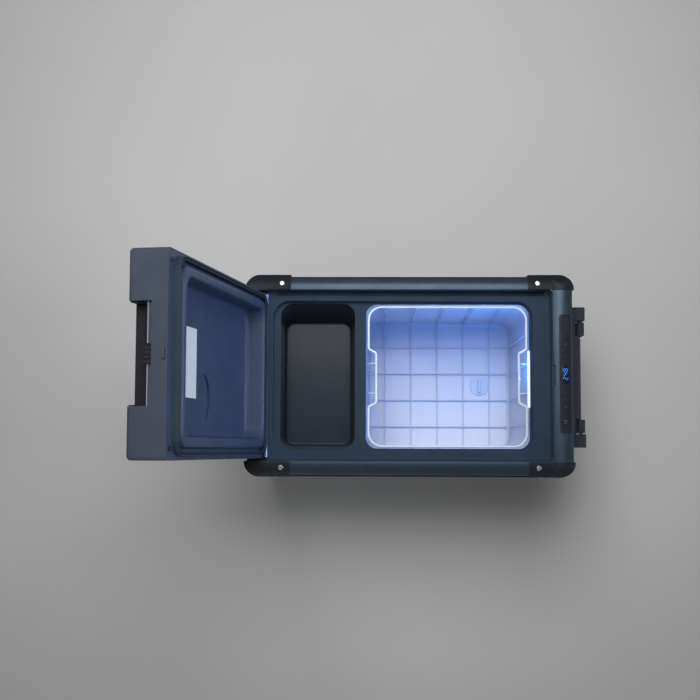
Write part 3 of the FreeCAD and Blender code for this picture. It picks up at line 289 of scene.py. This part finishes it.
def brushed(name, colour, roughness, along, grain_depth=0.00003):
    """Bare or plated metal with fine lines that run along one axis (0, 1 or 2 for X, Y or Z)."""
    graph = Graph(name)
    bsdf = graph.bsdf
    bsdf.inputs["Metallic"].default_value = 1.0
    scale = tuple(0.04 if i == along else 1.0 for i in range(3))
    lines = graph.noise(0.0005, 3.0, 0.7, place=graph.stretched(scale))
    stain = graph.noise(0.02, 4.0, 0.6)
    tint = graph.mixed(graph.spread(stain, 0.3, 0.75), rgba(colour, 0.82), rgba(colour, 1.08))
    graph.feed(bsdf.inputs["Base Color"], tint)
    rough = graph.spread(lines, 0.3, 0.7, roughness - 0.08, roughness + 0.1)
    graph.feed(bsdf.inputs["Roughness"], rough)
    graph.feed(bsdf.inputs["Normal"], graph.bump(lines, grain_depth, 0.5))
    return graph.material


def glossy(name, colour, roughness, coat=0.6, smudge=0.12, specular=0.5):
    """Polished plastic with faint smudges and hairline scratches."""
    graph = Graph(name)
    bsdf = graph.bsdf
    bsdf.inputs["Coat Weight"].default_value = coat
    bsdf.inputs["Coat Roughness"].default_value = 0.08
    bsdf.inputs["Specular IOR Level"].default_value = specular
    smear = graph.noise(0.012, 6.0, 0.7, distortion=1.2)
    lines = graph.noise(0.0006, 2.0, 0.6, place=graph.stretched((1.0, 0.08, 1.0)))
    tint = graph.mixed(graph.spread(smear, 0.4, 0.8), rgba(colour), rgba(colour, 1.7))
    graph.feed(bsdf.inputs["Base Color"], tint)
    rough = graph.spread(smear, 0.35, 0.75, roughness, roughness + smudge)
    graph.feed(bsdf.inputs["Roughness"], rough)
    graph.feed(bsdf.inputs["Normal"], graph.bump(lines, 0.00002, 0.35))
    return graph.material


def glowing(name, colour, strength, base=(0.2, 0.3, 0.6)):
    """Lit lens or segment: a little uneven, as a diffuser is."""
    graph = Graph(name)
    bsdf = graph.bsdf
    cells = graph.noise(0.004, 2.0, 0.5)
    tint = graph.mixed(graph.spread(cells, 0.3, 0.7), rgba(colour, 0.85), rgba(colour, 1.0))
    graph.feed(bsdf.inputs["Base Color"], rgba(base))
    graph.feed(bsdf.inputs["Emission Color"], tint)
    bsdf.inputs["Emission Strength"].default_value = strength
    graph.feed(bsdf.inputs["Roughness"], graph.spread(cells, 0.2, 0.8, 0.25, 0.4))
    graph.feed(bsdf.inputs["Normal"], graph.bump(cells, 0.0001, 0.3))
    return graph.material


def circuit_board():
    """Green board with a fine pattern of tracks and pads."""
    graph = Graph("circuit_board")
    tracks = graph.add("ShaderNodeTexBrick", {"Vector": graph.place, "Scale": 160.0})
    graph.feed(tracks.inputs["Color1"], (0.010, 0.075, 0.030, 1))
    graph.feed(tracks.inputs["Color2"], (0.012, 0.095, 0.040, 1))
    graph.feed(tracks.inputs["Mortar"], (0.05, 0.16, 0.07, 1))
    graph.feed(graph.bsdf.inputs["Base Color"], tracks.outputs["Color"])
    rough = graph.spread(graph.noise(0.01, 3.0), 0.3, 0.7, 0.3, 0.5)
    graph.feed(graph.bsdf.inputs["Roughness"], rough)
    graph.feed(graph.bsdf.inputs["Normal"], graph.bump(tracks.outputs["Fac"], 0.0001, 0.5))
    return graph.material


def cooling_fins():
    """Stacked aluminium fins along the condenser's length, with painted shade in the gaps between
    them.
    """
    graph = Graph("cooling_fins")
    bsdf = graph.bsdf
    bsdf.inputs["Metallic"].default_value = 1.0
    fins = graph.add(
        "ShaderNodeTexWave",
        {"Vector": graph.place, "Scale": 120.0, "Distortion": 0.15},
        bands_direction="X",
    )
    grime = graph.noise(0.02, 5.0, 0.6)
    # the dark bands between the bright ones are painted shade in the gaps between fins
    tint = graph.mixed(fins.outputs["Fac"], (0.12, 0.12, 0.12, 1), (0.66, 0.67, 0.68, 1))
    tint = graph.mixed(graph.spread(grime, 0.55, 0.8, 0.0, 0.35), tint, (0.2, 0.18, 0.16, 1))
    graph.feed(bsdf.inputs["Base Color"], tint)
    graph.feed(bsdf.inputs["Roughness"], graph.spread(grime, 0.3, 0.7, 0.3, 0.5))
    graph.feed(bsdf.inputs["Normal"], graph.bump(fins.outputs["Fac"], 0.0008, 0.8))
    return graph.material


def paper_label():
    """Plain white label with faint ruled rows."""
    graph = Graph("paper_label")
    rows = graph.add(
        "ShaderNodeTexWave",
        {"Vector": graph.place, "Scale": 22.0, "Distortion": 0.0},
        bands_direction="Z",
    )
    fibre = graph.noise(0.0012, 4.0, 0.7)
    tint = graph.mixed(
        graph.spread(rows.outputs["Fac"], 0.90, 1.0, 0.0, 0.35),
        (0.76, 0.80, 0.86, 1),
        (0.40, 0.44, 0.52, 1),
    )
    tint = graph.mixed(graph.spread(fibre, 0.4, 0.7, 0.0, 0.12), tint, (0.6, 0.64, 0.7, 1))
    graph.feed(graph.bsdf.inputs["Base Color"], tint)
    graph.feed(graph.bsdf.inputs["Roughness"], graph.spread(fibre, 0.3, 0.7, 0.42, 0.58))
    graph.feed(graph.bsdf.inputs["Normal"], graph.bump(fibre, 0.00005, 0.4))
    return graph.material


def liner_paint():
    """Smooth white liner with a dark band just under its mouth: painted shade for the gap below the
    deck's edge.
    """
    graph = Graph("liner_paint")
    split = graph.add("ShaderNodeSeparateXYZ", {"Vector": graph.place})
    low, high = SHADE_BAND_FROM_Z - SHADE_BAND_BLEND, SHADE_BAND_FROM_Z + SHADE_BAND_BLEND
    in_shade_band = graph.spread(split.outputs["Z"], low, high)
    cloud = graph.noise(0.05, 4.0, 0.6)
    white = graph.mixed(cloud, rgba(LINER_WHITE, 0.97), rgba(LINER_WHITE, 1.03))
    # painted shade: above this height the liner is painted dark, for the shaded gap between the
    # deck's edge and the basket's rim
    graph.feed(graph.bsdf.inputs["Base Color"], graph.mixed(in_shade_band, white, SHADE_BAND_BLUE))
    smear = graph.noise(SMEAR_SIZE, 5.0, 0.65, distortion=0.4)
    graph.feed(graph.bsdf.inputs["Roughness"], graph.spread(smear, 0.25, 0.75, 0.26, 0.44))
    fine = graph.noise(0.0007, 2.0, 0.6)
    wave = graph.bump(graph.noise(WAVE_SIZE, 1.0), WAVE_DEPTH, WAVE_STRENGTH)
    graph.feed(graph.bsdf.inputs["Normal"], graph.bump(fine, 0.00004, GRAIN_STRENGTH, wave))
    return graph.material


def latch_paint():
    """Black thumb pad on a bolt that has the lid's colour."""
    graph = Graph("latch_paint")
    split = graph.add("ShaderNodeSeparateXYZ", {"Vector": graph.place})
    on_bolt = graph.spread(split.outputs["X"], BOLT_FROM_X - BOLT_BLEND, BOLT_FROM_X + BOLT_BLEND)
    cloud = graph.noise(0.006, 3.0, 0.6)
    pad = graph.mixed(cloud, (0.010, 0.010, 0.012, 1), (0.022, 0.022, 0.026, 1))
    bolt = graph.mixed(cloud, (0.045, 0.056, 0.080, 1), (0.055, 0.068, 0.096, 1))
    graph.feed(graph.bsdf.inputs["Base Color"], graph.mixed(on_bolt, pad, bolt))
    fine = graph.noise(0.0008, 2.0, 0.6)
    graph.feed(graph.bsdf.inputs["Roughness"], graph.spread(fine, 0.3, 0.7, 0.45, 0.6))
    graph.feed(graph.bsdf.inputs["Normal"], graph.bump(fine, 0.0001, 0.5))
    return graph.material


def grip_liner_paint():
    """Black cup with two lighter strips at its mouth, painted there as highlights along its edges.
    """
    graph = Graph("grip_liner_paint")
    split = graph.add("ShaderNodeSeparateXYZ", {"Vector": graph.place})
    on_highlight_strips = graph.spread(split.outputs["Z"], HIGHLIGHT_STRIPS_FROM_Z - HIGHLIGHT_STRIPS_BLEND, HIGHLIGHT_STRIPS_FROM_Z + HIGHLIGHT_STRIPS_BLEND)
    cloud = graph.noise(0.006, 3.0, 0.6)
    cup = graph.mixed(cloud, (0.008, 0.009, 0.012, 1), (0.014, 0.015, 0.020, 1))
    # painted highlight: the two lighter strips at the cup's mouth stand in for light caught along
    # its edges
    highlight_strips = graph.mixed(cloud, (0.26, 0.26, 0.32, 1), (0.34, 0.34, 0.41, 1))
    graph.feed(graph.bsdf.inputs["Base Color"], graph.mixed(on_highlight_strips, cup, highlight_strips))
    fine = graph.noise(0.0008, 2.0, 0.6)
    graph.feed(graph.bsdf.inputs["Roughness"], graph.spread(fine, 0.3, 0.7, 0.42, 0.56))
    graph.feed(graph.bsdf.inputs["Normal"], graph.bump(fine, 0.0001, 0.4))
    return graph.material


def studio_floor():
    """Pale matt backdrop with faint clouding."""
    graph = Graph("studio_floor")
    cloud = graph.noise(0.6, 3.0, 0.5)
    tint = graph.mixed(graph.spread(cloud, 0.3, 0.7), (0.52, 0.52, 0.52, 1), (0.55, 0.55, 0.55, 1))
    graph.feed(graph.bsdf.inputs["Base Color"], tint)
    fine = graph.noise(0.004, 3.0, 0.6)
    graph.feed(graph.bsdf.inputs["Roughness"], graph.spread(fine, 0.3, 0.7, 0.75, 0.9))
    graph.feed(graph.bsdf.inputs["Normal"], graph.bump(fine, 0.0002, 0.2))
    return graph.material


# ---------------------------------------------------------------- materials
slate_rail = moulded(
    "slate_rail", SLATE, 0.32, metallic=0.7, wear_and_highlight=WORN_SLATE, dust=0.12, gloss_spread=0.05
)
slate_side = moulded(
    "slate_side", SLATE, 0.42, metallic=0.5, wear_and_highlight=WORN_SLATE, dust=0.15, grain=0.0005
)
lid_skin = moulded(
    "lid_skin", (0.050, 0.062, 0.088), 0.62, wear_and_highlight=WORN_SLATE, dust=0.35, specular=0.3
)
lid_inside = moulded("lid_inside", LID_BLUE, 0.45, wear_and_highlight=WORN_LID, dust=0.1, specular=0.3)
# the deck's lighter edges are painted highlight lines along its recess edges, besides wear
deck_skin = moulded(
    "deck_skin", DECK_SLATE, 0.50, wear_and_highlight=WORN_AND_HIGHLIT_DECK, wear_and_highlight_radius=0.0014, dust=0.12, specular=0.10
)
black_mould = moulded("black_mould", BLACK, 0.42, wear_and_highlight=WORN_BLACK, dust=0.15, specular=0.22)
bracket_black = moulded(
    "bracket_black", (0.022, 0.025, 0.035), 0.5, wear_and_highlight=WORN_BLACK, dust=0.2, specular=0.2
)
tray_black = moulded(
    "tray_black",
    (0.020, 0.027, 0.039),
    0.20,
    wear_and_highlight=WORN_TRAY,
    dust=0.08,
    gloss_spread=0.04,
    specular=0.18,
)
foam_core = moulded("foam_core", (0.72, 0.66, 0.48), 0.9, grain=0.0012, grain_depth=0.0004)
soft_rubber = moulded(
    "soft_rubber", (0.020, 0.021, 0.029), 0.62, grain=0.0009, mottle=0.15, specular=0.2
)
grip_rubber = moulded("grip_rubber", (0.018, 0.020, 0.028), 0.30, grain=0.0011, mottle=0.12)
seal_rubber = moulded(
    "seal_rubber", (0.024, 0.038, 0.054), 0.60, grain=0.0010, mottle=0.12, specular=0.25
)
rim_coat = moulded(
    "rim_coat", WIRE_WHITE, 0.22, mottle=0.03, grain=0.003, grain_depth=0.00008, coat=0.35
)
# painted shade: the cross, long and lower wires get a darker copy of the rim's coat
shaded_wire_coat = moulded(
    "shaded_wire_coat", WIRE_SHADED_GREY, 0.25, mottle=0.05, grain=0.003, grain_depth=0.00008, coat=0.25
)
zinc = brushed("zinc", (0.62, 0.63, 0.66), 0.32, 1)
nickel = brushed("nickel", (0.62, 0.63, 0.66), 0.26, 0)
dark_steel = brushed("dark_steel", (0.06, 0.075, 0.11), 0.42, 1)
black_screw = brushed("black_screw", (0.05, 0.06, 0.08), 0.4, 0)
# satin metal; the blue in its colour is a painted reflection of the blue light inside the fridge
hinge_satin_blue_reflection = brushed("hinge_satin_blue_reflection", (0.30, 0.34, 0.52), 0.45, 1)
copper = brushed("copper", (0.72, 0.33, 0.18), 0.32, 2)
black_enamel = moulded("black_enamel", (0.012, 0.012, 0.013), 0.3, coat=0.3, dust=0.4)
gloss_panel = glossy("gloss_panel", (0.012, 0.014, 0.019), 0.36, coat=0.05, specular=0.15)
display_glass = glossy("display_glass", (0.003, 0.006, 0.016), 0.12, coat=0.4, smudge=0.05)
key_skin = glossy("key_skin", (0.012, 0.014, 0.019), 0.38, coat=0.04, specular=0.15)
lens_glow = glowing("lens_glow", (0.62, 0.86, 1.0), 1.25)
plug_white = moulded("plug_white", (0.50, 0.60, 0.72), 0.34, mottle=0.04, grain_depth=0.00004)

MATERIAL_OF = {
    slate_rail: ["top_frame"],
    slate_side: ["outer_shell"],
    lid_skin: ["lid_cover"],
    lid_inside: ["lid_inner_liner"],
    deck_skin: ["deck_moulding"],
    black_mould: [
        "vent_grilles",
        "base_pan",
        "top_corner_protectors",
        "bottom_corner_protectors",
        "led_housing",
        "fan_frame",
        "fan_rotor",
        "controller_case",
        "power_socket",
        "drain_tube",
    ],
    bracket_black: [
        "front_handle_bracket",
        "rear_handle_bracket",
        "front_handle_bail",
        "rear_handle_bail",
    ],
    latch_paint(): ["lid_latch"],
    grip_liner_paint(): ["lid_grip_liner"],
    tray_black: ["upper_tray"],
    liner_paint(): ["inner_liner"],
    foam_core: ["foam_insulation", "lid_foam"],
    soft_rubber: ["rubber_feet", "compressor_grommets"],
    grip_rubber: ["front_handle_grip", "rear_handle_grip"],
    seal_rubber: ["lid_gasket"],
    rim_coat: ["basket_rim"],
    shaded_wire_coat: ["basket_cross_wires", "basket_long_wires", "basket_lower_ring"],
    zinc: ["foot_inserts", "latch_spring"],
    dark_steel: ["striker_plate"],
    hinge_satin_blue_reflection: ["hinge_knuckles"],
    black_screw: ["lid_screws", "front_handle_pins", "rear_handle_pins"],
    nickel: ["protector_screws", "hinge_pins"],
    copper: ["evaporator_coil", "refrigerant_lines"],
    black_enamel: ["compressor", "filter_drier"],
    cooling_fins(): ["condenser"],
    gloss_panel: ["control_panel"],
    display_glass: ["display_window"],
    key_skin: ["key_power", "key_mode", "key_up", "key_down", "key_lamp"],
    lens_glow: ["led_lens"],
    paper_label(): ["lid_label"],
    circuit_board(): ["controller_board"],
    plug_white: ["drain_plug"],
}
for material, names in MATERIAL_OF.items():
    for name in names:
        mesh = nodes[name].data
        mesh.materials.clear()
        mesh.materials.append(material)


def latch_coil():
    """The spring behind the latch, as a copy of its piece that moves with the lid."""
    solid = nodes["latch_spring"]
    coil = bpy.data.objects.new("latch_coil", solid.data.copy())
    coil.matrix_world = solid.matrix_world.copy()
    bpy.context.scene.collection.objects.link(coil)
    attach(coil, "lid")
    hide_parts("latch_spring")
    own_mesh(coil)
    return coil


latch_coil()


# ---------------------------------------------------------------- display and key marks
def surface_height(node, x, y):
    """Height of a CAD piece's upper surface above one point of the floor."""
    piece = nodes[node]
    into = piece.matrix_world.inverted()
    start = into @ Vector((x, y, ABOVE_ALL))
    hit, place, _, _ = piece.ray_cast(start, into.to_3x3() @ Vector((0.0, 0.0, -1.0)))
    return (piece.matrix_world @ place).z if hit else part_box(node)[1].z


def surface_marks(name, node, body, strokes, radius, material):
    """Thin raised strokes on a piece; each is a list of (x, y) offsets from its centre."""
    lo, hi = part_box(node)
    centre = (lo + hi) / 2
    curve = bpy.data.curves.new(name, "CURVE")
    curve.dimensions = "3D"
    curve.bevel_depth = radius
    curve.bevel_resolution = 3
    curve.use_fill_caps = True
    for stroke in strokes:
        spline = curve.splines.new("POLY")
        spline.points.add(len(stroke) - 1)
        for point, (dx, dy) in zip(spline.points, stroke):
            x, y = centre.x + dx, centre.y + dy
            point.co = (x, y, surface_height(node, x, y) - radius * MARK_SUNK, 1.0)
    holder = bpy.data.objects.new(name, curve)
    bpy.context.scene.collection.objects.link(holder)
    curve.materials.append(material)
    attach(holder, body)
    return holder


def digit_strokes(digit, start):
    """Lit segments of one digit, read from the end of the fridge, so its top points to -X."""
    strokes = []
    gap = SEGMENT_R * SEGMENT_GAP
    for segment in LIT[digit]:
        (u0, v0), (u1, v1) = SEGMENTS[segment]
        along = Vector((u1 - u0, v1 - v0)).normalized() * gap
        ends = []
        for u, v, sign in ((u0, v0, 1), (u1, v1, -1)):
            y = start + u * DIGIT_WIDTH + sign * along.x
            x = DIGIT_HEIGHT / 2 - v * DIGIT_HEIGHT / 2 - sign * along.y
            ends.append((x, y))
        strokes.append(ends)
    return strokes


def ring(radius, start=0.0, end=360.0, steps=14):
    """Arc about the centre, in degrees from the +X side."""
    turns = [math.radians(start + (end - start) * i / steps) for i in range(steps + 1)]
    return [(radius * math.cos(turn), radius * math.sin(turn)) for turn in turns]


# Each key's mark: strokes of (x, y) offsets in metres from the key's centre.
KEY_MARKS = {
    "key_power": [[(-0.0034, -0.0022), (0.0034, -0.0022)], [(-0.0034, 0.0022), (0.0034, 0.0022)]],
    "key_mode": [ring(0.0019)],
    "key_up": [[(0.0010, -0.0020), (-0.0012, 0.0), (0.0010, 0.0020)]],
    "key_down": [[(-0.0010, -0.0020), (0.0012, 0.0), (-0.0010, 0.0020)]],
    "key_lamp": [ring(0.0013), [(-0.0034, 0.0), (-0.0022, 0.0)], [(0.0022, 0.0), (0.0034, 0.0)]],
}
segment_glow = glowing("segment_glow", (0.05, 0.24, 1.0), 1.6, base=(0.02, 0.06, 0.2))
faint_mark = moulded("faint_mark", (0.10, 0.11, 0.14), 0.5, mottle=0.05)
clear_mark = moulded("clear_mark", (0.42, 0.44, 0.52), 0.45, mottle=0.05)
first = -(DIGIT_PITCH * (len(READING) - 1) + DIGIT_WIDTH) / 2
lit = []
for place, digit in enumerate(READING):
    lit += digit_strokes(digit, first + place * DIGIT_PITCH)
surface_marks("display_digits", "display_window", "cabinet", lit, SEGMENT_R, segment_glow)
for key_name, strokes in KEY_MARKS.items():
    paint = clear_mark if key_name == "key_power" else faint_mark
    surface_marks(key_name + "_mark", key_name, key_name, strokes, MARK_R, paint)

# ---------------------------------------------------------------- floor, lights, camera
bpy.ops.mesh.primitive_plane_add(size=FLOOR_SIZE)
floor = bpy.context.active_object
floor.name = "studio_floor"
floor.data.materials.append(studio_floor())


def area_light(name, place, aim, size, power, colour=(1.0, 1.0, 1.0), spread=math.pi):
    """Rectangular softbox at place, turned towards aim, that the camera doesn't see."""
    light = bpy.data.lights.new(name, "AREA")
    light.spread = spread
    light.shape = "RECTANGLE"
    light.size, light.size_y = size
    light.energy = power
    light.color = colour
    holder = bpy.data.objects.new(name, light)
    holder.location = place
    holder.rotation_euler = (aim - place).to_track_quat("-Z", "Y").to_euler()
    holder.visible_camera = False
    bpy.context.scene.collection.objects.link(holder)
    return holder


key = area_light("key_softbox", KEY_PLACE, KEY_AIM, KEY_SIZE, KEY_POWER, spread=KEY_SPREAD)
key.visible_glossy = False
top = area_light("top_softbox", TOP_PLACE, TOP_AIM, TOP_SIZE, TOP_POWER)
top.visible_diffuse = False
area_light(
    "side_softbox", SIDE_PLACE, SIDE_AIM, SIDE_SIZE, SIDE_POWER, SIDE_COLOUR, SIDE_SPREAD
)
area_light("fill_softbox", FILL_PLACE, FILL_AIM, FILL_SIZE, FILL_POWER, spread=FILL_SPREAD)
lens_lo, lens_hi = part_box("led_lens")
lens_middle = (lens_lo + lens_hi) / 2
led_place = Vector((lens_lo.x - LED_GAP, lens_middle.y, lens_middle.z))
area_light("led_strip", led_place, led_place + LED_AIM, LED_SIZE, LED_POWER, LED_COLOUR)

world = bpy.data.worlds.new("studio")
world.use_nodes = True
world.node_tree.nodes["Background"].inputs["Color"].default_value = (1.0, 1.0, 1.0, 1.0)
world.node_tree.nodes["Background"].inputs["Strength"].default_value = AMBIENT
bpy.context.scene.world = world
bpy.context.scene.view_settings.view_transform = "Standard"

camera_data = bpy.data.cameras.new("camera")
camera_data.lens = CAMERA_LENS
camera_data.sensor_width = SENSOR_WIDTH
camera = bpy.data.objects.new("camera", camera_data)
bpy.context.scene.collection.objects.link(camera)
turn = Matrix.Rotation(CAMERA_TURN.length, 4, CAMERA_TURN.normalized())
camera.matrix_world = Matrix.Translation(CAMERA_PLACE) @ turn
bpy.context.scene.camera = camera
